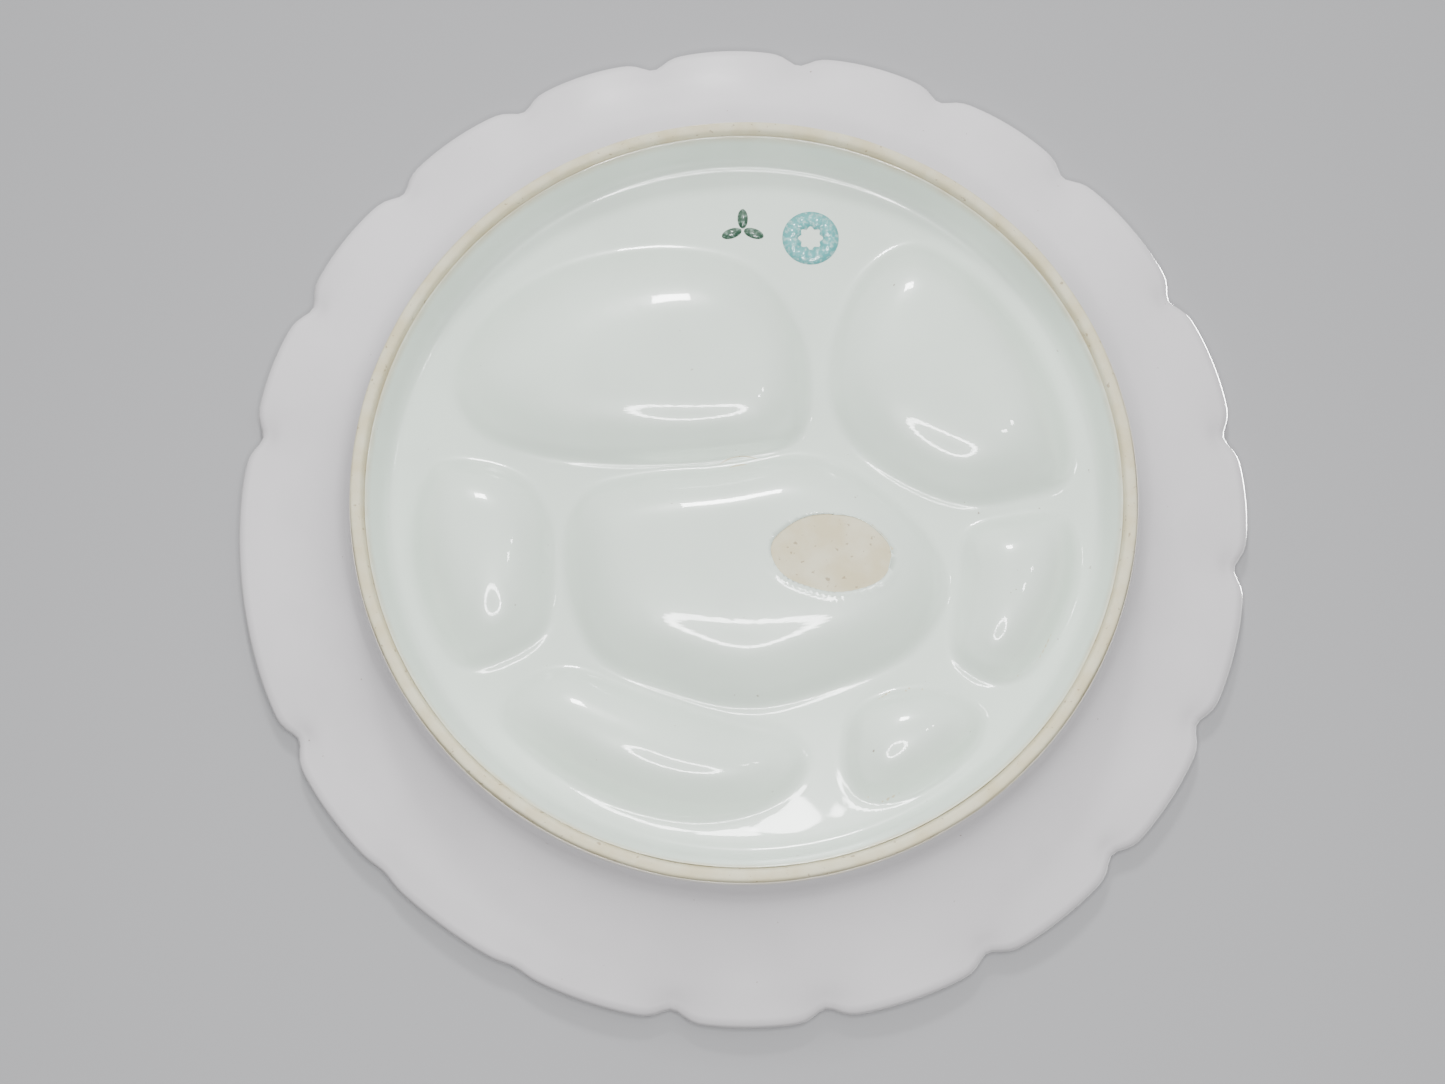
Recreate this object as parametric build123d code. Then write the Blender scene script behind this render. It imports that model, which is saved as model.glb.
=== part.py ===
from build123d import *
from math import cos, hypot, radians, sin
import os

# A one-piece porcelain mixing palette: a round plate with a nicked rim, a tall foot ring and
# seven shallow wells, all of one wall thickness, so that each well also shows as a soft bulge
# inside the foot. Millimetres, +Z up, wells upwards, the foot's crest on z = 0 and the centre
# of the foot on the origin. The glaze and the two printed marks are thin solids of their own.

# rim
RIM_RADIUS = 110.4
RIM_TOP = 24.6
RIM_EDGE = 3.0            # thickness of the rim at its rounded edge
# foot
CREST_INNER = 80.3        # the flat, unglazed crest
CREST_OUTER = 82.5
COVE_RADIUS = 75.8        # where the foot's inner wall would meet the floor's underside
FOOT_ROOT = 7.5           # height at which the foot ring joins the plate
CREST_BAND = 1.3          # height of the bare band on both sides of the crest
# floor
WALL = 3.8                # thickness of the plate wherever it isn't the foot
FLOOR_UNDER = 10.0        # underside of the plate between the wells
FLOOR_TOP = FLOOR_UNDER + WALL
# glaze and marks
GLAZE = 0.25
PRINT = 0.08
PATCH_CENTRE = (-18.5, -14.5)      # where the glaze missed the middle well's underside
PATCH_SIZE = (25.0, 17.0)
RING_CENTRE = (-15.0, 59.0)
RING_OUTER = 12.5
RING_INNER = 5.0
SPRIG_CENTRE = (0.0, 61.0)
SPRIG_LEAF = (4.6, 2.3)

# nicks in the rim: depth of each, at its angle in degrees from +X, two of them nearly worn away
NICKS = {angle: 2.3 for angle in (9, 26, 44, 62, 79, 97, 115, 133, 153, 171, 187, 206, 224, 242,
                                  261, 278, 332)}
NICKS |= {296: 0.7, 314: 0.7}
NICK_RADIUS = 6.0

# wells: depth of the bulge below the floor's underside, and its outline at that level
WELLS = {
    "middle": (7.6, [(38, -14), (34.5, 0), (21, 4.5), (4, 6), (-12, 8.5), (-25, 4), (-39, -9),
                     (-42.5, -22), (-34, -34.5), (-17, -42), (-2, -45.5), (13, -43), (31, -34.5)]),
    "broad": (7.4, [(-14.5, 24), (-11, 12), (4, 8), (24, 7), (42, 8.5), (57, 14), (63, 25),
                    (58, 38), (46, 49), (30, 55), (12, 56), (-3, 51), (-12, 38)]),
    "corner": (7.2, [(-19, 22), (-20, 36), (-26.5, 50), (-38, 57), (-52, 48.5), (-63, 34),
                     (-69.5, 17), (-69, 4), (-59, -0.5), (-47, -2), (-35, 2.5), (-24, 11)]),
    "side": (6.4, [(-48, -8), (-58, -5), (-68, -5), (-70.5, -15), (-67, -27), (-59, -38),
                   (-51, -40), (-44.5, -35), (-45, -26), (-46.5, -17)]),
    "small": (6.0, [(-23.5, -47), (-31, -43), (-40.5, -42.5), (-48, -46), (-48.5, -52),
                    (-42, -59), (-33, -64), (-25, -64.5), (-21.5, -59.5), (-21.5, -53)]),
    "long": (6.6, [(37, -37.5), (24, -42), (11, -46.5), (0, -50), (-8.5, -52), (-12.5, -57),
                   (-9, -63.5), (0, -68), (12, -69), (26, -65.5), (40, -58), (49.5, -49),
                   (47, -41)]),
    "flank": (6.6, [(41, -6), (46.5, 3), (56, 7), (66, 6.5), (70.5, -4), (70, -16),
                    (66, -28), (58.5, -37), (49.5, -35.5), (42, -29.5), (40.3, -18)]),
}
# section of every bulge: part of its depth reached at each distance in from the outline, for
# a well of FULL_REACH from its middle to its edge. Smaller wells have shorter slopes.
WELL_SECTION = ((-0.30, -1.5), (0.0, 0.0), (0.42, 2.2), (0.76, 5.0), (0.94, 8.2), (1.0, 11.5))
FULL_REACH = 22.0
HOLLOW_MOUTH = (-0.90, -3.6)      # hollows start above the floor, bulges inside it


def at_angle(radius, angle):
    return (radius * cos(radians(angle)), radius * sin(radians(angle)))


def disc(radius, bottom, top):
    return Pos(0, 0, bottom) * extrude(Circle(radius), top - bottom)


def annulus(inner, outer, bottom, top):
    return Pos(0, 0, bottom) * extrude(Circle(outer) - Circle(inner), top - bottom)


def offset_section(depth, shorten, offset_by):
    """Well section in (inset, z), moved along its normals: positive is outwards and down."""
    section = (HOLLOW_MOUTH, *WELL_SECTION) if offset_by < 0 else WELL_SECTION
    points = [(inset * shorten, FLOOR_UNDER - share * depth) for share, inset in section]
    moved = []
    for index, (inset, z) in enumerate(points):
        before = points[max(index - 1, 0)]
        after = points[min(index + 1, len(points) - 1)]
        run, drop = after[0] - before[0], before[1] - after[1]
        if index == len(points) - 1:
            run, drop = 1.0, 0.0
        length = hypot(run, drop)
        moved.append((inset - offset_by * drop / length, z - offset_by * run / length))
    return moved


def well_form(name, offset_by):
    """A well's pillow shape: offset_by 0 is the bulge's surface, -WALL the hollow's."""
    depth, outline = WELLS[name]
    centre_x = sum(x for x, y in outline) / len(outline)
    centre_y = sum(y for x, y in outline) / len(outline)
    reach = sum(hypot(x - centre_x, y - centre_y) for x, y in outline) / len(outline)
    faces = []
    for inset, z in offset_section(depth, min(1, reach / FULL_REACH), offset_by):
        scale = 1 - inset / reach
        points = [(centre_x + (x - centre_x) * scale, centre_y + (y - centre_y) * scale)
                  for x, y in outline]
        faces.append(Pos(0, 0, z) * make_face(Spline(*points, periodic=True)))
    return loft(faces)


def grown_outline(start, corners, end, grow):
    """Rounded polyline through the corners, with every stretch moved to its right by grow."""
    points = [Vector(*point) for point in (start, *corners, end)]
    runs = [(after - before).normalized() for before, after in zip(points, points[1:])]
    sides = [Vector(run.Y, -run.X) for run in runs]
    moved = [points[0] + sides[0] * grow]
    for corner, side, next_side in zip(points[1:], sides, sides[1:]):
        moved.append(corner + (side + next_side) * (grow / (1 + side.dot(next_side))))
    moved.append(points[-1] + sides[-1] * grow)
    radii = []
    for run, next_run, radius in zip(runs, runs[1:], corners.values()):
        convex = run.cross(next_run).Z > 0
        radii.append(radius + grow if convex else radius - grow)
    return FilletPolyline(*moved, radius=radii)


def rim_and_foot(grow):
    """Floor, cove, foot and flange, turned from one section of (radius, height)."""
    beyond = RIM_RADIUS + 5
    corners = {
        (COVE_RADIUS, FLOOR_UNDER): 4.0,
        (CREST_INNER, 0): 0.3,
        (CREST_OUTER, 0): 0.3,
        (CREST_OUTER + 1.8, 11.0): 7.0,
        (CREST_OUTER + 13.5, 17.8): 22.0,
        (beyond, RIM_TOP - RIM_EDGE + 0.9): 0.5,
        (beyond, RIM_TOP + 0.5): 0.5,
        (CREST_OUTER + 12.5, RIM_TOP - 3.6): 26.0,
        (CREST_OUTER - 1.0, FLOOR_TOP): 12.0,
    }
    outline = grown_outline((0, FLOOR_UNDER), corners, (0, FLOOR_TOP), grow)
    section = make_face([*outline.edges(), Line(outline @ 1, outline @ 0)])
    form = revolve(Plane.XZ * section, Axis.Z) & disc(RIM_RADIUS + grow, -2, RIM_TOP + 2)
    return form - [nick_tool(angle, depth, grow) for angle, depth in NICKS.items()]


def nick_tool(angle, depth, grow):
    centre = at_angle(RIM_RADIUS - depth + NICK_RADIUS, angle)
    return Pos(*centre, 0) * disc(NICK_RADIUS - grow, FLOOR_TOP, RIM_TOP + 5)


def whole(grow):
    """Everything made of clay in one piece, with every face moved out by grow."""
    form = rim_and_foot(grow)
    form += [well_form(name, grow) for name in WELLS]
    form -= [well_form(name, -WALL - grow) for name in WELLS]
    return form


def foot_ring(clay):
    return clay & annulus(COVE_RADIUS - 0.5, CREST_OUTER + 10, -1, FOOT_ROOT)


def plate_body(clay):
    return clay - annulus(COVE_RADIUS - 0.5, CREST_OUTER + 10, -1, FOOT_ROOT)


def glaze_coats(clay):
    """The skin of glaze, parted by the bare crest into the face's coat and the underside's."""
    skin = whole(GLAZE) - clay
    skin -= annulus(CREST_INNER - 2, CREST_OUTER + 2, -1, CREST_BAND)
    underside, face = sorted(skin.solids(), key=lambda solid: solid.volume)
    patch = Pos(*PATCH_CENTRE, 0) * Ellipse(PATCH_SIZE[0] / 2, PATCH_SIZE[1] / 2)
    underside -= extrude(patch, FLOOR_UNDER)
    return face, underside


def print_on_floor(shape):
    return Pos(0, 0, FLOOR_UNDER - GLAZE - PRINT) * extrude(shape, PRINT)


def ring_stamp():
    return print_on_floor(Pos(*RING_CENTRE) * (Circle(RING_OUTER / 2) - Circle(RING_INNER / 2)))


def sprig_stamp():
    """Three leaves, one up and one to each side."""
    length, width = SPRIG_LEAF
    leaves = Sketch()
    for angle in (90, 200, 340):
        stem = at_angle(length / 2 + 0.3, angle)
        leaves += Pos(SPRIG_CENTRE[0] + stem[0], SPRIG_CENTRE[1] + stem[1]) * Rot(0, 0, angle) * Ellipse(
            length / 2, width / 2)
    return print_on_floor(leaves)


clay = whole(0)
face_glaze, underside_glaze = glaze_coats(clay)
NODES = {
    "plate_body": plate_body(clay),
    "foot_ring": foot_ring(clay),
    "face_glaze": face_glaze,
    "underside_glaze": underside_glaze,
    "ring_stamp": ring_stamp(),
    "sprig_stamp": sprig_stamp(),
}
os.makedirs("parts", exist_ok=True)
for name, node in NODES.items():
    export_step(node, f"parts/{name}.step")
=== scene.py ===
from math import cos, pi, radians, sin

import bmesh
import bpy
import numpy as np
from mathutils import Matrix, Vector


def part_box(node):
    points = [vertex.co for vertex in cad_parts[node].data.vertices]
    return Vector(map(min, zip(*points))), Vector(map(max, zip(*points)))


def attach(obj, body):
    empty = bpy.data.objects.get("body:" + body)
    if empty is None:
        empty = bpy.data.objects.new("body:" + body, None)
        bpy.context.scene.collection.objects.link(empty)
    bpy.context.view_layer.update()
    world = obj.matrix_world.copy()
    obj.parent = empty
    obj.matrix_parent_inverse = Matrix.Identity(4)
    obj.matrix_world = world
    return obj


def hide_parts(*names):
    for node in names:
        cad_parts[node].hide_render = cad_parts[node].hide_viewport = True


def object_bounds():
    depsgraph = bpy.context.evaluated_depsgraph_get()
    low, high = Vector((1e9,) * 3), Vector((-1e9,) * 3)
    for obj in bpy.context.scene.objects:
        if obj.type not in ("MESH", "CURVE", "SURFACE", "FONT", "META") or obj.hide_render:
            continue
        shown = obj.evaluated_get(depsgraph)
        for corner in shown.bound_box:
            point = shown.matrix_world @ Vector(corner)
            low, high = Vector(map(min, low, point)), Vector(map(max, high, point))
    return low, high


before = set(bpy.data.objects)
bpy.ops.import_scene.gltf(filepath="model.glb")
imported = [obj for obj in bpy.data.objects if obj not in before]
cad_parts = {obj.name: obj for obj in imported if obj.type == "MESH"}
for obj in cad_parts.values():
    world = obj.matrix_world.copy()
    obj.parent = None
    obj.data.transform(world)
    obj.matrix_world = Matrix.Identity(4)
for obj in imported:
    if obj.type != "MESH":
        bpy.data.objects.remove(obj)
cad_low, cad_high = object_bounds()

# Porcelain mixing palette, seen from its glazed underside. Modelled in millimetres in the
# frame of the CAD parts, and scaled to metres when each mesh is finished.
MM = 0.001

# sizes taken from the frame
RIM_RADIUS = cad_high.x / MM
RIM_TOP = cad_high.z / MM
FOOT_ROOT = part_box("foot_ring")[1].z / MM
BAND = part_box("underside_glaze")[0].z / MM    # height where the glaze stops, above the crest

GLAZE = 0.25                    # from the clay to the surface of the glaze
COAT_WALL = GLAZE * 0.7         # how thick each coat is modelled, so that it clears the clay
FLOOR_UNDER = 10.0 - GLAZE
FLOOR_TOP = 13.8 + GLAZE
FLOOR_MIDDLE = (FLOOR_UNDER + FLOOR_TOP) / 2
FLOOR_EDGE = 76.0               # radius where the floor turns into the foot's wall
CREST_OUTER = 82.5

# wells: depth, the side on which the slope is long and soft (degrees, and how much longer),
# and the outline where the bulge leaves the floor
WELLS = {
    "middle": (7.6, -80, 0.5,
               [(38, -14), (34.5, 0), (21, 4.5), (4, 6), (-12, 8.5), (-25, 4), (-39, -9),
                (-42.5, -22), (-34, -34.5), (-17, -42), (-2, -45.5), (13, -43), (31, -34.5)]),
    "broad": (7.4, 40, 1.2,
              [(-14.5, 24), (-11, 12), (4, 8), (24, 7), (42, 8.5), (57, 14), (63, 25),
               (58, 38), (46, 49), (30, 55), (12, 56), (-3, 51), (-12, 38)]),
    "corner": (7.2, -60, 0.3,
               [(-19, 22), (-20, 36), (-26.5, 50), (-38, 57), (-52, 48.5), (-63, 34),
                (-69.5, 17), (-69, 4), (-59, -0.5), (-47, -2), (-35, 2.5), (-24, 11)]),
    "side": (6.4, 0, 0.2,
             [(-48, -8), (-58, -5), (-68, -5), (-70.5, -15), (-67, -27), (-59, -38),
              (-51, -40), (-44.5, -35), (-45, -26), (-46.5, -17)]),
    "small": (6.0, 0, 0.2,
              [(-23.5, -47), (-31, -43), (-40.5, -42.5), (-48, -46), (-48.5, -52),
               (-42, -59), (-33, -64), (-25, -64.5), (-21.5, -59.5), (-21.5, -53)]),
    "long": (6.6, 180, 0.4,
             [(37, -37.5), (24, -42), (11, -46.5), (0, -50), (-8.5, -52), (-12.5, -57),
              (-9, -63.5), (0, -68), (12, -69), (26, -65.5), (40, -58), (49.5, -49),
              (47, -41)]),
    "flank": (6.6, -90, 0.6,
              [(41, -6), (46.5, 3), (56, 7), (66, 6.5), (70.5, -4), (70, -16),
               (66, -28), (58.5, -37), (49.5, -35.5), (42, -29.5), (40.3, -18)]),
}
FULL_REACH = 22.0               # mean radius of a well with a slope of the full width
SLOPE_WIDTH = 11.5
SLOPE_POWER = 2.4               # how quickly the slope flattens towards the bottom
CROWN = 0.16                    # share of the depth that belongs to the domed bottom
CROWN_REACH = 1.3               # size of the dome, in reaches of the well
CROWN_RISE = 1.6                # height of the dome's middle, in shares of CROWN
NEARBY = 2.2                    # a well shapes the floor this many reaches away at most
BOTTOM_START, BOTTOM_FULL = 0.5, 4.5    # the bottom is softer than the crease this far inside
CREASE_PASSES, BOTTOM_PASSES = 2, 26
HOLLOW_INSET = 2.6              # how far inside the bulge's outline the hollow starts
GRID_REACH = 80.0               # the wells are worked out on a square grid, and read from it
GRID_STEP = 0.8

# nicks of the rim: depth at each angle, two of them nearly worn away
NICKS = {angle: 2.3 for angle in (9, 26, 44, 62, 79, 97, 115, 133, 153, 171, 187, 206, 224, 242,
                                  261, 278, 332)}
NICKS |= {296: 0.7, 314: 0.7}
NICK_HALF_ANGLE = 1.75
NICK_LENGTH = 8.0               # how far in from the edge a nick pulls the rim
FLUTE_HALF_ANGLE = 5.0
FLUTE_LIFT = 0.42
FLUTE_SHRINK = 0.12             # share of a nick's depth that its flute takes off the rim
WORN_ANGLE, WORN_HALF_ANGLE, WORN_DEPTH = 305, 17, 0.7
FLANGE_LENGTH = 21.0
FLANGE_DROP = 0.30              # keeps the lifted flutes within the height of the plate
WARP = 0.10                     # rise and fall of the flange, twice round

# bare patch, where the glaze missed the middle bulge
PATCH_CENTRE = (-18.5, -14.5)
PATCH_SIZE = (25.0, 17.0)
PATCH_EDGE = 0.07               # vertices this near the edge, as a share, move onto it
LIP_REACH = 1.06                # the glaze is thickest here, just outside the edge
LIP_HEIGHT = 0.10
LIP_RUN = 0.18                  # more height on the side where the glaze ran together
LIP_RUN_FROM, LIP_RUN_TO = -13, -19

PRINT_THICKNESS = 0.07
RING_CENTRE = (-15.0, 59.0)
RING_OUTER, RING_INNER = 12.5, 5.0
SCALLOPS = 8
SPRIG_CENTRE = (0.0, 61.0)
LEAF_ANGLES = (90, 200, 340)
LEAF_HALF_LENGTH, LEAF_HALF_WIDTH = 2.3, 1.15
LEAF_OUT = 2.6                  # from the middle of the sprig to the middle of a leaf


# ---------------------------------------------------------------- shape of the clay

def smooth_step(low, high, value):
    t = np.clip((value - low) / (high - low), 0, 1)
    return t * t * (3 - 2 * t)


def closed_curve(points, steps=14):
    """Smooth closed line through the points."""
    p = np.array(points, float)
    before, after, second = np.roll(p, 1, 0), np.roll(p, -1, 0), np.roll(p, -2, 0)
    t = np.linspace(0, 1, steps, endpoint=False)[:, None, None]
    line = 0.5 * (2 * p + (after - before) * t + (2 * before - 5 * p + 4 * after - second) * t ** 2
                  + (3 * p - before - 3 * after + second) * t ** 3)
    return line.transpose(1, 0, 2).reshape(-1, 2)


def inside_distance(x, y, line):
    """Distance to the closed line, positive inside it."""
    start, end = line, np.roll(line, -1, 0)
    run = end - start
    nearest = np.full(x.shape, np.inf)
    inside = np.zeros(x.shape, bool)
    for (ax, ay), (bx, by), (dx, dy) in zip(start, end, run):
        along = np.clip(((x - ax) * dx + (y - ay) * dy) / (dx * dx + dy * dy), 0, 1)
        nearest = np.minimum(nearest, (x - ax - along * dx) ** 2 + (y - ay - along * dy) ** 2)
        if ay != by:
            crosses = ((ay > y) != (by > y)) & (x < ax + (y - ay) * dx / dy)
            inside ^= crosses
    return np.where(inside, 1, -1) * np.sqrt(nearest)


def soften(field, passes):
    """Blurs a square grid, a little more with each pass."""
    for _ in range(passes):
        for axis in (0, 1):
            field = (np.roll(field, 1, axis) + 2 * field + np.roll(field, -1, axis)) / 4
    return field


def wells_field(inset):
    """Grid of how far the wells sink the floor, from outlines moved in by inset."""
    line = np.arange(-GRID_REACH, GRID_REACH + GRID_STEP, GRID_STEP)
    x, y = np.meshgrid(line, line, indexing="ij")
    drop = np.zeros(x.shape)
    how_far_inside = np.full(x.shape, -np.inf)
    for depth, soft_side, softness, outline in WELLS.values():
        middle = np.mean(outline, axis=0)
        reach = np.hypot(*(np.array(outline) - middle).T).mean()
        away = np.hypot(x - middle[0], y - middle[1])
        near = away < NEARBY * reach
        px, py = x[near], y[near]
        distance = inside_distance(px, py, closed_curve(outline)) - inset
        how_far_inside[near] = np.maximum(how_far_inside[near], distance)
        turn = np.arctan2(py - middle[1], px - middle[0]) - radians(soft_side)
        width = SLOPE_WIDTH * min(1, reach / FULL_REACH) * (1 + softness * (1 + np.cos(turn)) / 2)
        slope = 1 - (1 - np.clip(distance / width, 0, 1)) ** SLOPE_POWER
        crown = 1 - np.clip(away[near] / (CROWN_REACH * reach), 0, 1) ** 2
        drop[near] += depth * slope * (1 - CROWN + CROWN * CROWN_RISE * crown)
    bottom = smooth_step(BOTTOM_START, BOTTOM_FULL, how_far_inside)
    return soften(drop, CREASE_PASSES) * (1 - bottom) + soften(drop, BOTTOM_PASSES) * bottom


def spline_weights(t):
    """Weights of the four grid values round a point at this share of its cell."""
    return ((1 - t) ** 3 / 6, (3 * t ** 3 - 6 * t ** 2 + 4) / 6,
            (-3 * t ** 3 + 3 * t ** 2 + 3 * t + 1) / 6, t ** 3 / 6)


def wells_drop(x, y, field):
    """How far the wells of this grid sink the floor at each point."""
    gx, gy = (np.clip((v + GRID_REACH) / GRID_STEP, 1, len(field) - 3) for v in (x, y))
    ix, iy = gx.astype(int), gy.astype(int)
    along, across = spline_weights(gx - ix), spline_weights(gy - iy)
    return sum(along[i] * across[j] * field[ix + i - 1, iy + j - 1]
               for i in range(4) for j in range(4))


def angle_away(angle, centre):
    """Turn from the centre to the angle in degrees, the short way round."""
    return (angle - centre + 180) % 360 - 180


def pinch(angle, half_angle):
    """Depth of the nicks at each angle in degrees, as bells of the given half angle."""
    return sum(depth * np.exp(-((angle_away(angle, nick) / half_angle) ** 2))
               for nick, depth in NICKS.items())


def shape_rim(x, y, z):
    """Nicks, soft flutes behind them, and the stretch of rim that is worn flatter."""
    radius, angle = np.hypot(x, y), np.degrees(np.arctan2(y, x))
    edge = smooth_step(RIM_RADIUS - NICK_LENGTH, RIM_RADIUS - 0.5, radius)
    flange = smooth_step(RIM_RADIUS - FLANGE_LENGTH, RIM_RADIUS, radius)
    flute = pinch(angle, FLUTE_HALF_ANGLE)
    worn = WORN_DEPTH * np.exp(-((angle_away(angle, WORN_ANGLE) / WORN_HALF_ANGLE) ** 2))
    shrink = edge * (pinch(angle, NICK_HALF_ANGLE) + FLUTE_SHRINK * flute + worn)
    scale = 1 - shrink / np.maximum(radius, 1)
    warp = WARP * np.cos(2 * np.radians(angle) + 0.7)
    return x * scale, y * scale, z + flange * (FLUTE_LIFT * flute + warp - FLANGE_DROP)


def sink_wells(x, y, z, side, field):
    """Heights with the floor sunk into the wells: side picks the vertices of one side of it."""
    floor = np.flatnonzero(side & (np.hypot(x, y) < FLOOR_EDGE))
    z = z.copy()
    z[floor] -= wells_drop(x[floor], y[floor], field)
    return z


# ---------------------------------------------------------------- mesh helpers

def rounded_line(points, step, cuts=4):
    """Polyline with its corners cut round, with points a step apart."""
    line = np.array(points, float)
    for _ in range(cuts):
        quarter = 0.75 * line[:-1] + 0.25 * line[1:]
        three = 0.25 * line[:-1] + 0.75 * line[1:]
        line = np.concatenate([line[:1], np.stack([quarter, three], 1).reshape(-1, 2), line[-1:]])
    lengths = np.concatenate([[0], np.cumsum(np.hypot(*np.diff(line, axis=0).T))])
    at = np.linspace(0, lengths[-1], int(lengths[-1] / step) + 1)
    return np.stack([np.interp(at, lengths, line[:, 0]), np.interp(at, lengths, line[:, 1])], 1)


def turned(profile, steps, closed=False, faces_up=None):
    """A profile of (radius, height) spun round the Z axis.

    faces_up says which way the middle of an open shape faces.
    """
    bm = bmesh.new()
    verts = [bm.verts.new((radius, 0, height)) for radius, height in profile]
    edges = [bm.edges.new(pair) for pair in zip(verts, verts[1:])]
    if closed:
        edges.append(bm.edges.new((verts[-1], verts[0])))
    bmesh.ops.spin(bm, geom=verts + edges, cent=(0, 0, 0), axis=(0, 0, 1), angle=2 * pi,
                   steps=steps, use_merge=True)
    bmesh.ops.remove_doubles(bm, verts=bm.verts, dist=1e-4)
    bmesh.ops.recalc_face_normals(bm, faces=bm.faces)
    middle = min(bm.faces, key=lambda face: face.calc_center_median().xy.length)
    if faces_up is not None and (middle.normal.z > 0) != faces_up:
        bmesh.ops.reverse_faces(bm, faces=bm.faces)
    return bm


def coordinates(bm):
    """Arrays of the x, y and z of the vertices."""
    return np.array([vert.co for vert in bm.verts]).T


def move_to(bm, x, y, z):
    """Moves each vertex to its place in the arrays."""
    for vert, place in zip(bm.verts, np.stack([x, y, z], 1)):
        vert.co = place


def mesh_object(bm, name, material):
    """Scales the shape to metres and makes it an object with this material."""
    bmesh.ops.scale(bm, vec=(MM, MM, MM), verts=bm.verts)
    mesh = bpy.data.meshes.new(name)
    bm.to_mesh(mesh)
    bm.free()
    mesh.materials.append(material)
    made = bpy.data.objects.new(name, mesh)
    bpy.context.collection.objects.link(made)
    return made


def finish_piece(bm, name, material, node):
    """Makes the shape a smooth piece that replaces this CAD node."""
    piece = mesh_object(bm, name, material)
    piece.data.shade_smooth()
    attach(piece, "root")
    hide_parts(node)
    return piece


def thicken_inwards(coat):
    """Gives the open shell of a coat its thickness, towards the clay."""
    solid = coat.modifiers.new("coat", "SOLIDIFY")
    solid.thickness = COAT_WALL * MM
    solid.offset = -1


# ---------------------------------------------------------------- finishes

class Value:
    """A shader socket that can stand in sums: each operator adds its Math node."""

    def __init__(self, nodes, socket):
        self.nodes = nodes
        self.socket = socket

    def math(self, operation, first, second):
        return self.nodes.node("ShaderNodeMath", {0: first, 1: second}, operation=operation)

    def __add__(self, other):
        return self.math("ADD", self, other)

    def __sub__(self, other):
        return self.math("SUBTRACT", self, other)

    def __rsub__(self, other):
        return self.math("SUBTRACT", other, self)

    def __mul__(self, other):
        return self.math("MULTIPLY", self, other)

    __radd__ = __add__
    __rmul__ = __mul__


COLOUR_A, COLOUR_B, COLOUR_RESULT = 6, 7, 2    # the Mix node's sockets for colours


class Nodes:
    """Builds a node tree from Python expressions."""

    def __init__(self, tree):
        self.tree = tree

    def node(self, kind, values, output=0, **settings):
        """A node of this kind: its settings, then its sockets' values or links."""
        node = self.tree.nodes.new(kind)
        for name, setting in settings.items():
            setattr(node, name, setting)
        for key, value in values.items():
            self.plug(node.inputs[key], value)
        return Value(self, node.outputs[output])

    def plug(self, socket, value):
        if isinstance(value, Value):
            self.tree.links.new(value.socket, socket)
        else:
            socket.default_value = value

    def place(self):
        return self.node("ShaderNodeTexCoord", {}, output="Object")

    def height(self):
        return self.node("ShaderNodeSeparateXYZ", {0: self.place()}, output="Z")

    def distance_out(self):
        """Distance from the middle of the plate's foot."""
        return self.node("ShaderNodeVectorMath", {0: self.place()}, output="Value",
                         operation="LENGTH")

    def noise(self, size_mm, detail=2.0, roughness=0.5):
        """Noise of 0 to 1 with features of about this size."""
        values = {"Vector": self.place(), "Scale": 1 / (size_mm * MM), "Detail": detail,
                  "Roughness": roughness}
        return self.node("ShaderNodeTexNoise", values, output="Fac")

    def between(self, value, low, high):
        """0 below low, 1 above high, smooth between."""
        values = {"Value": value, "From Min": low, "From Max": high}
        return self.node("ShaderNodeMapRange", values, interpolation_type="SMOOTHSTEP")

    def towards(self, direction):
        """1 where the place lies in this direction, -1 where it lies opposite."""
        values = {0: self.place(), 1: Vector(direction).normalized()}
        return self.node("ShaderNodeVectorMath", values, output="Value", operation="DOT_PRODUCT")

    def mix(self, factor, one, other):
        """Colour between one, at 0, and the other, at 1."""
        one, other = ((*c, 1) if isinstance(c, tuple) else c for c in (one, other))
        values = {"Factor": factor, COLOUR_A: one, COLOUR_B: other}
        return self.node("ShaderNodeMix", values, output=COLOUR_RESULT, data_type="RGBA")


class Finish(Nodes):
    """A material with a Principled shader."""

    def __init__(self, name, **sockets):
        self.material = bpy.data.materials.new(name)
        self.material.use_nodes = True
        super().__init__(self.material.node_tree)
        self.shader = self.tree.nodes["Principled BSDF"]
        for socket, value in sockets.items():
            self.set(socket.replace("_", " "), value)

    def set(self, name, value):
        self.plug(self.shader.inputs[name], value)

    def bump(self, height, depth_mm):
        """Relief of this depth, where the height goes from 0 to 1."""
        values = {"Height": height, "Distance": depth_mm * MM, "Strength": 1.0}
        self.set("Normal", self.node("ShaderNodeBump", values))


GLAZE_GREEN = (0.655, 0.745, 0.665)
# the face coat's glaze is darker and greyer than the underside's greenish glaze: partly its own
# tone, partly painted shade on the rim
GLAZE_WHITE_AND_SHADE = (0.63, 0.61, 0.63)
CREAM = (0.55, 0.49, 0.32)
PALE_CREAM = (0.61, 0.58, 0.43)
SPECK_BROWN = (0.16, 0.09, 0.04)
TEAL, FADED_TEAL = (0.09, 0.36, 0.36), (0.42, 0.62, 0.60)
DARK_GREEN, FADED_GREEN = (0.02, 0.07, 0.04), (0.22, 0.33, 0.27)
PAPER_GREY = (0.31, 0.31, 0.32)


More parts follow.
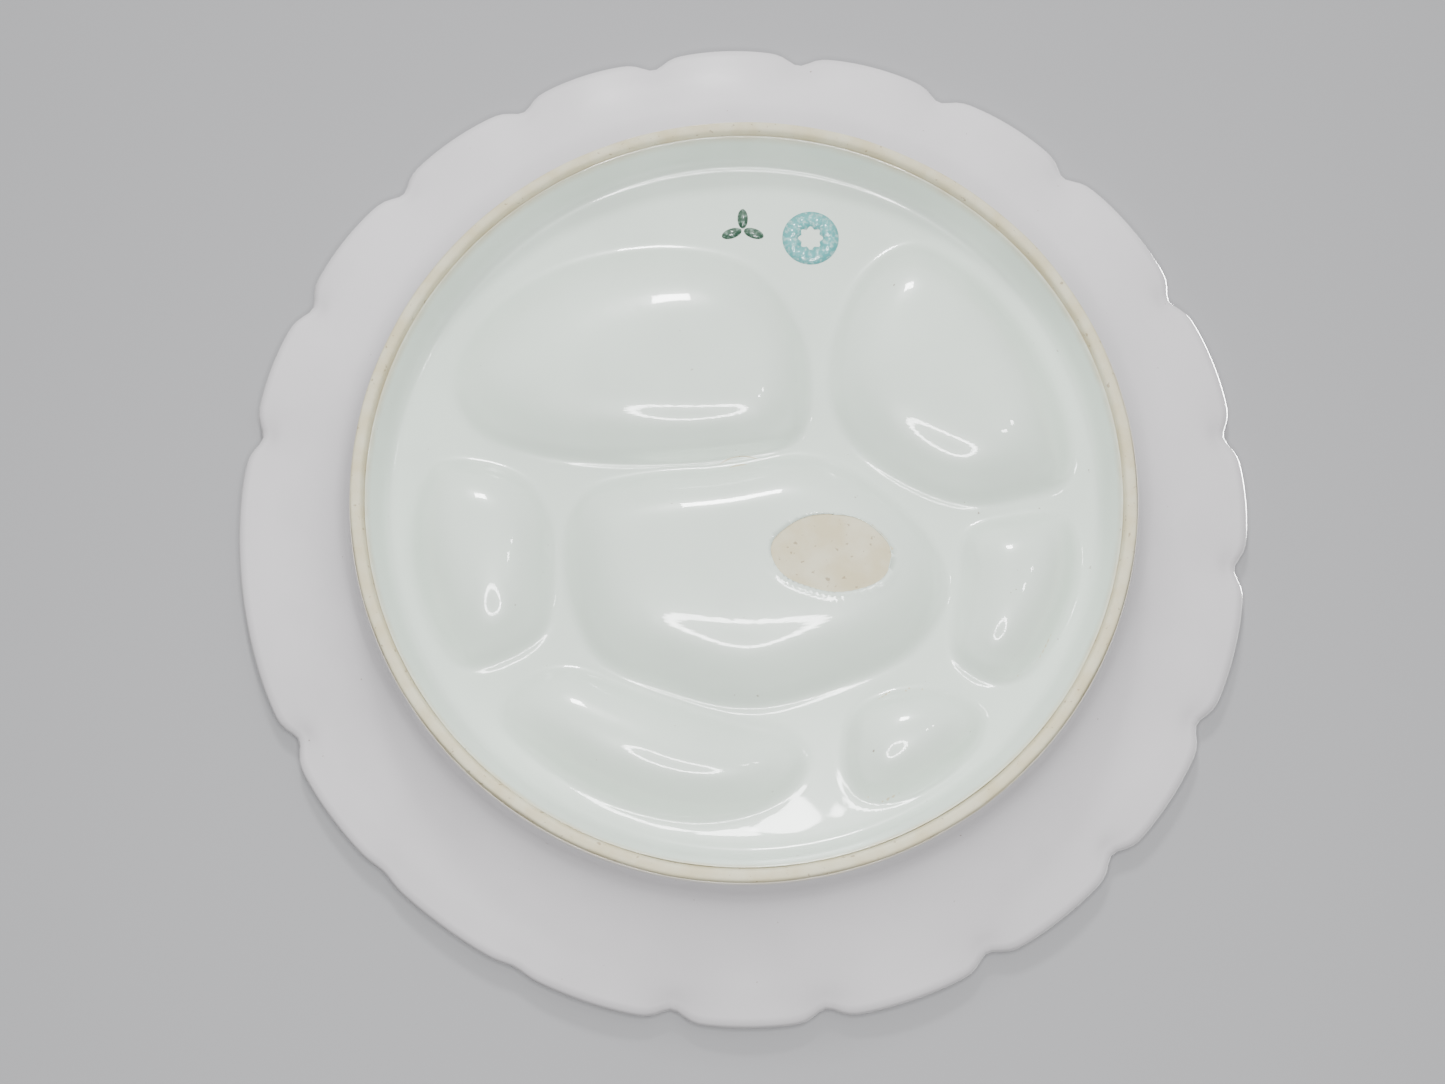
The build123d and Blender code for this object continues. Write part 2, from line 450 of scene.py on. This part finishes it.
def glaze(name, colour, blush, gloss_blur):
    """Glossy glaze: slightly uneven colour, rare iron specks and pinholes, cream at its edge."""
    finish = Finish(name, Roughness=0.28, Coat_Weight=1.0, Coat_Roughness=gloss_blur)
    deep = tuple(channel * 0.94 for channel in colour)
    tint = finish.mix(finish.between(finish.noise(28, 3), 0.35, 0.68), colour, deep)
    low = 1 - finish.between(finish.height(), (BAND + 0.1) * MM, (BAND + 2.4) * MM)
    near_crest = low * finish.between(finish.distance_out(), 75 * MM, 77 * MM)
    blushed = finish.mix(near_crest * finish.noise(5) * blush, tint, CREAM)
    specks = finish.between(finish.noise(1.1, 1), 0.765, 0.80)
    rare_specks = specks * finish.between(finish.noise(9, 1), 0.56, 0.66)
    finish.set("Base Color", finish.mix(rare_specks * 0.7, blushed, SPECK_BROWN))
    waves, orange_peel = finish.noise(7, 2), finish.noise(1.6, 1)
    finish.bump(waves * 0.8 + orange_peel * 0.06 - rare_specks * 0.3, 0.09)
    return finish.material


def biscuit():
    """Unglazed porcelain: cream, matt, finely grained, with brown firing specks."""
    finish = Finish("bare_biscuit", IOR=1.45)
    mottled = finish.mix(finish.between(finish.noise(6, 4), 0.3, 0.7), CREAM, PALE_CREAM)
    specks = finish.between(finish.noise(1.3, 2), 0.66, 0.72)
    finish.set("Base Color", finish.mix(specks * 0.5, mottled, SPECK_BROWN))
    finish.set("Roughness", 0.72 + finish.noise(2, 2) * 0.2)
    finish.bump(finish.noise(0.5, 3, 0.65), 0.05)
    return finish.material


def print_colour(name, colour, faded):
    """Ceramic print that melted into the glaze: broken up and paler in fine blotches."""
    finish = Finish(name, Roughness=0.3, Coat_Weight=1.0, Coat_Roughness=0.03)
    worn = finish.between(finish.noise(0.8, 3), 0.45, 0.72)
    finish.set("Base Color", finish.mix(worn * 0.8, colour, faded))
    finish.bump(finish.noise(1.5, 1), 0.02)
    return finish.material


# ---------------------------------------------------------------- pieces

# profiles as (radius, height)
UNDER_FLANGE = [(83.2, 4.0), (84.4, 10.2), (87.2, 13.4), (92.5, 16.2), (99.0, 18.3),
                (105.5, 19.9), (109.6, 21.0)]
OVER_FLANGE = [(104.5, 23.1), (96.5, 21.4), (89.5, 17.9), (82.0, 14.4), (78.0, FLOOR_TOP)]
RIM_EDGE = [(RIM_RADIUS + 0.1, 21.3), (RIM_RADIUS + 0.35, 22.9), (RIM_RADIUS, RIM_TOP + 0.1),
            (109.3, RIM_TOP - 0.1)]
INNER_WALL = [(73.6, FLOOR_UNDER), (75.6, 9.5), (76.9, 8.0), (78.1, 4.8), (79.5, BAND)]
FOOT_RING = [(77.5, FOOT_ROOT), (78.8, 4.0), (79.9, 1.2), (80.3, 0.15), (80.9, 0.0), (81.9, 0.0),
             (82.4, 0.15), (82.7, 1.4), (83.1, 4.5), (83.4, FOOT_ROOT)]


def face_coat(material):
    """Glaze from the bare crest up under the flange, round the rim and over the whole face."""
    start = (CREST_OUTER + 0.35, BAND)
    outline = [start, *UNDER_FLANGE, *RIM_EDGE, *OVER_FLANGE, (70, FLOOR_TOP), (0, FLOOR_TOP)]
    bm = turned(rounded_line(outline, 1.5), 440, faces_up=True)
    x, y, z = coordinates(bm)
    z = sink_wells(x, y, z, z > FLOOR_MIDDLE, HOLLOWS)
    move_to(bm, *shape_rim(x, y, z))
    thicken_inwards(finish_piece(bm, "face_coat", material, "face_glaze"))


def patch_reach(x, y):
    """1 on the edge of the bare patch, less inside it: an uneven oval."""
    along = (x - PATCH_CENTRE[0]) / (PATCH_SIZE[0] / 2)
    across = (y - PATCH_CENTRE[1]) / (PATCH_SIZE[1] / 2)
    turn = np.arctan2(across, along)
    wobble = 0.02 * np.sin(2 * turn + 0.6) + 0.02 * np.sin(3 * turn + 2) + 0.01 * np.sin(7 * turn)
    return np.hypot(along, across) / (1 + wobble)


def underside_coat(material):
    """Glaze inside the foot, over the bulges, with a rounded lip round the bare patch."""
    outline = [(0, FLOOR_UNDER), (68, FLOOR_UNDER), *INNER_WALL]
    bm = turned(rounded_line(outline, 0.95), 400, faces_up=False)
    x, y, z = coordinates(bm)
    z = sink_wells(x, y, z, z > 0, BULGES)
    reach = patch_reach(x, y)
    lip = LIP_HEIGHT + LIP_RUN * smooth_step(LIP_RUN_FROM, LIP_RUN_TO, y)
    z -= lip * np.exp(-(((reach - LIP_REACH) / PATCH_EDGE) ** 2))
    snap = np.where(np.abs(reach - 1) < PATCH_EDGE, 1 / reach, 1)
    x = PATCH_CENTRE[0] + (x - PATCH_CENTRE[0]) * snap
    y = PATCH_CENTRE[1] + (y - PATCH_CENTRE[1]) * snap
    move_to(bm, x, y, z)
    inside = [vert for vert, value in zip(bm.verts, reach) if value < 1 - PATCH_EDGE]
    bmesh.ops.delete(bm, geom=inside, context="VERTS")
    coat = finish_piece(bm, "underside_coat", material, "underside_glaze")
    thicken_inwards(coat)


def clay_plate(material):
    """The clay under both coats, from the top of the foot outwards and inwards."""
    outline = [(0, FLOOR_UNDER + GLAZE), (68, FLOOR_UNDER + GLAZE), (74.6, FLOOR_UNDER + GLAZE),
               (76.6, 9.2), (77.4, FOOT_ROOT), (83.4, FOOT_ROOT), (84.1, 10.6)]
    outline += [(radius - 0.1, height + GLAZE) for radius, height in UNDER_FLANGE[2:]]
    outline += [(RIM_RADIUS - 0.3, 22.0), (RIM_RADIUS - 0.4, RIM_TOP - 0.6)]
    outline += [(radius, height - GLAZE) for radius, height in OVER_FLANGE]
    outline += [(70, FLOOR_TOP - GLAZE), (0, FLOOR_TOP - GLAZE)]
    bm = turned(rounded_line(outline, 1.9, cuts=3), 360)
    x, y, z = coordinates(bm)
    upper = z > FLOOR_MIDDLE
    z = sink_wells(x, y, sink_wells(x, y, z, upper, HOLLOWS), ~upper, BULGES)
    # the bare patch lies nearly level with the glaze round it
    z -= np.where(upper, 0, GLAZE * 0.75) * (1 - smooth_step(0.95, 1.2, patch_reach(x, y)))
    move_to(bm, *shape_rim(x, y, z))
    finish_piece(bm, "clay_plate", material, "plate_body")


def bare_foot(material):
    """Foot ring with its ground, bare crest, a little uneven all the way round."""
    bm = turned(rounded_line(FOOT_RING, 0.35, cuts=2), 480, closed=True)
    x, y, z = coordinates(bm)
    turn = np.arctan2(y, x)
    wave = 0.10 * np.sin(3 * turn + 1) + 0.07 * np.sin(8 * turn) + 0.04 * np.sin(23 * turn + 2)
    scale = 1 + wave * smooth_step(FOOT_ROOT, 0, z) / np.hypot(x, y)
    move_to(bm, x * scale, y * scale, z)
    finish_piece(bm, "bare_foot", material, "foot_ring")


def printed(bm, name, material, node):
    """Lays flat faces on the underside of the floor as a thin print."""
    x, y, z = coordinates(bm)
    move_to(bm, x, y, z + FLOOR_UNDER - PRINT_THICKNESS - wells_drop(x, y, BULGES))
    bm.normal_update()
    bmesh.ops.reverse_faces(bm, faces=[face for face in bm.faces if face.normal.z < 0])
    bmesh.ops.solidify(bm, geom=bm.faces, thickness=-PRINT_THICKNESS)
    bmesh.ops.recalc_face_normals(bm, faces=bm.faces)
    finish_piece(bm, name, material, node)


def ring_print(material):
    """A plain ring with a scalloped inner edge."""
    bm = bmesh.new()
    bmesh.ops.create_circle(bm, segments=160, radius=RING_OUTER / 2)
    inner = bmesh.ops.extrude_edge_only(bm, edges=bm.edges[:])["geom"]
    for vert in (item for item in inner if isinstance(item, bmesh.types.BMVert)):
        turn = np.arctan2(vert.co.y, vert.co.x)
        vert.co = vert.co.normalized() * (RING_INNER / 2) * (1 + 0.12 * cos(SCALLOPS * turn))
    bmesh.ops.translate(bm, vec=(*RING_CENTRE, 0), verts=bm.verts)
    printed(bm, "ring_print", material, "ring_stamp")


def sprig_print(material):
    """Three leaves, one up and one to each side."""
    bm = bmesh.new()
    for angle in LEAF_ANGLES:
        turn = Matrix.Rotation(radians(angle), 4, "Z")
        leaf = bmesh.ops.create_circle(bm, cap_ends=True, segments=48, radius=1)["verts"]
        bmesh.ops.scale(bm, vec=(LEAF_HALF_LENGTH, LEAF_HALF_WIDTH, 1), verts=leaf)
        bmesh.ops.translate(bm, vec=(LEAF_OUT, 0, 0), verts=leaf)
        bmesh.ops.transform(bm, matrix=turn, verts=leaf)
    bmesh.ops.translate(bm, vec=(*SPRIG_CENTRE, 0), verts=bm.verts)
    printed(bm, "sprig_print", material, "sprig_stamp")


# ---------------------------------------------------------------- stage, lights and camera

CAMERA_DISTANCE = 420.5
CAMERA_TILT = 13.9              # degrees off the plate's axis, towards -Y
CAMERA_ASIDE = (-4.45, -12.3)   # how far to the right and up of the plate's middle
LAMP_RING_RADIUS = 96
LAMP_RING_COUNT = 24
LAMPS_ASIDE = [(190, 170), (250, 240)]
STAGE_SIZE = 9000
BACKDROP_GAP = 1.5              # from the rim to the backdrop behind the plate


def one_sided(name):
    """Matt paper that shows only its front, so that the palette is seen from either side."""
    finish = Finish(name, Roughness=0.9, Base_Color=(*PAPER_GREY, 1))
    paper = Value(finish, finish.shader.outputs["BSDF"])
    back = finish.node("ShaderNodeNewGeometry", {}, output="Backfacing")
    clear = finish.node("ShaderNodeBsdfTransparent", {})
    mixed = finish.node("ShaderNodeMixShader", {0: back, 1: paper, 2: clear})
    finish.plug(finish.tree.nodes["Material Output"].inputs["Surface"], mixed)
    return finish.material


def stage_sheet(name, height, facing_down):
    """A big sheet at this height, in mm, that faces up or down."""
    bm = bmesh.new()
    bmesh.ops.create_grid(bm, x_segments=1, y_segments=1, size=STAGE_SIZE)
    if facing_down:
        bmesh.ops.reverse_faces(bm, faces=bm.faces)
    bmesh.ops.translate(bm, vec=(0, 0, height), verts=bm.verts)
    sheet = mesh_object(bm, name, one_sided(name))
    for ray in ("diffuse", "glossy", "transmission", "shadow"):
        setattr(sheet, f"visible_{ray}", False)


def eye_frame():
    """Place in mm, right, up and back of the camera, which looks up at the underside."""
    tilt = radians(CAMERA_TILT)
    back = Vector((-0.003, -sin(tilt), -cos(tilt)))
    right = Vector((0, 1, 0)).cross(back).normalized()
    up = back.cross(right)
    place = back * CAMERA_DISTANCE + right * CAMERA_ASIDE[0] + up * CAMERA_ASIDE[1]
    return place, right, up, back


def lamp(name, place, size, power):
    """A square lamp at this place, in mm, that looks at the palette."""
    light = bpy.data.lights.new(name, "AREA")
    light.size = size * MM
    light.energy = power
    lit = bpy.data.objects.new(name, light)
    lit.location = Vector(place) * MM
    lit.rotation_euler = (-lit.location).to_track_quat("-Z", "Y").to_euler()
    bpy.context.collection.objects.link(lit)


def lights():
    """A pale room with a brighter side above and below, two soft lamps and a ring of small ones."""
    world = bpy.data.worlds.new("pale_room")
    bpy.context.scene.world = world
    world.use_nodes = True
    room = Nodes(world.node_tree)
    above = room.between(room.towards((-0.4, 0.4, 0.8)), 0.2, 1.0)
    below = room.between(room.towards((0.1, 0.8, -0.6)), 0.2, 1.0)
    background = world.node_tree.nodes["Background"]
    room.plug(background.inputs["Color"], (1, 1, 1, 1))
    room.plug(background.inputs["Strength"], 0.26 + above * 1.3 + below * 1.1)
    lamp("key_above", (-500, 350, 800), 300, 8)
    lamp("key_below", (60, 640, -560), 120, 4.5)
    # the ring stands round the camera, with two more lamps above it and to its right
    place, right, up, _ = eye_frame()
    turns = [2 * pi * step / LAMP_RING_COUNT for step in range(LAMP_RING_COUNT)]
    ring = [(LAMP_RING_RADIUS * cos(turn), LAMP_RING_RADIUS * sin(turn)) for turn in turns]
    for number, (along, over) in enumerate(ring + LAMPS_ASIDE):
        lamp(f"small_lamp_{number}", place + right * along + up * over, 23, 0.10)


def camera():
    place, right, up, back = eye_frame()
    data = bpy.data.cameras.new("camera")
    data.lens, data.sensor_width = 50, 36
    eye = bpy.data.objects.new("camera", data)
    turn = Matrix((right, up, back)).transposed().to_4x4()
    eye.matrix_world = Matrix.Translation(place * MM) @ turn
    bpy.context.collection.objects.link(eye)
    bpy.context.scene.camera = eye


BULGES = wells_field(0)
HOLLOWS = wells_field(HOLLOW_INSET)
bare_clay = biscuit()
clay_plate(bare_clay)
bare_foot(bare_clay)
# the face coat's colour carries painted shade on the rim in part
face_coat(glaze("white_glaze_coat", GLAZE_WHITE_AND_SHADE, 0.9, 0.12))
underside_coat(glaze("greenish_glaze_coat", GLAZE_GREEN, 1.1, 0.03))
ring_print(print_colour("teal_print_ink", TEAL, FADED_TEAL))
sprig_print(print_colour("green_print_ink", DARK_GREEN, FADED_GREEN))
stage_sheet("pale_floor", 0, facing_down=False)
stage_sheet("pale_backdrop", RIM_TOP + BACKDROP_GAP, facing_down=True)
lights()
camera()
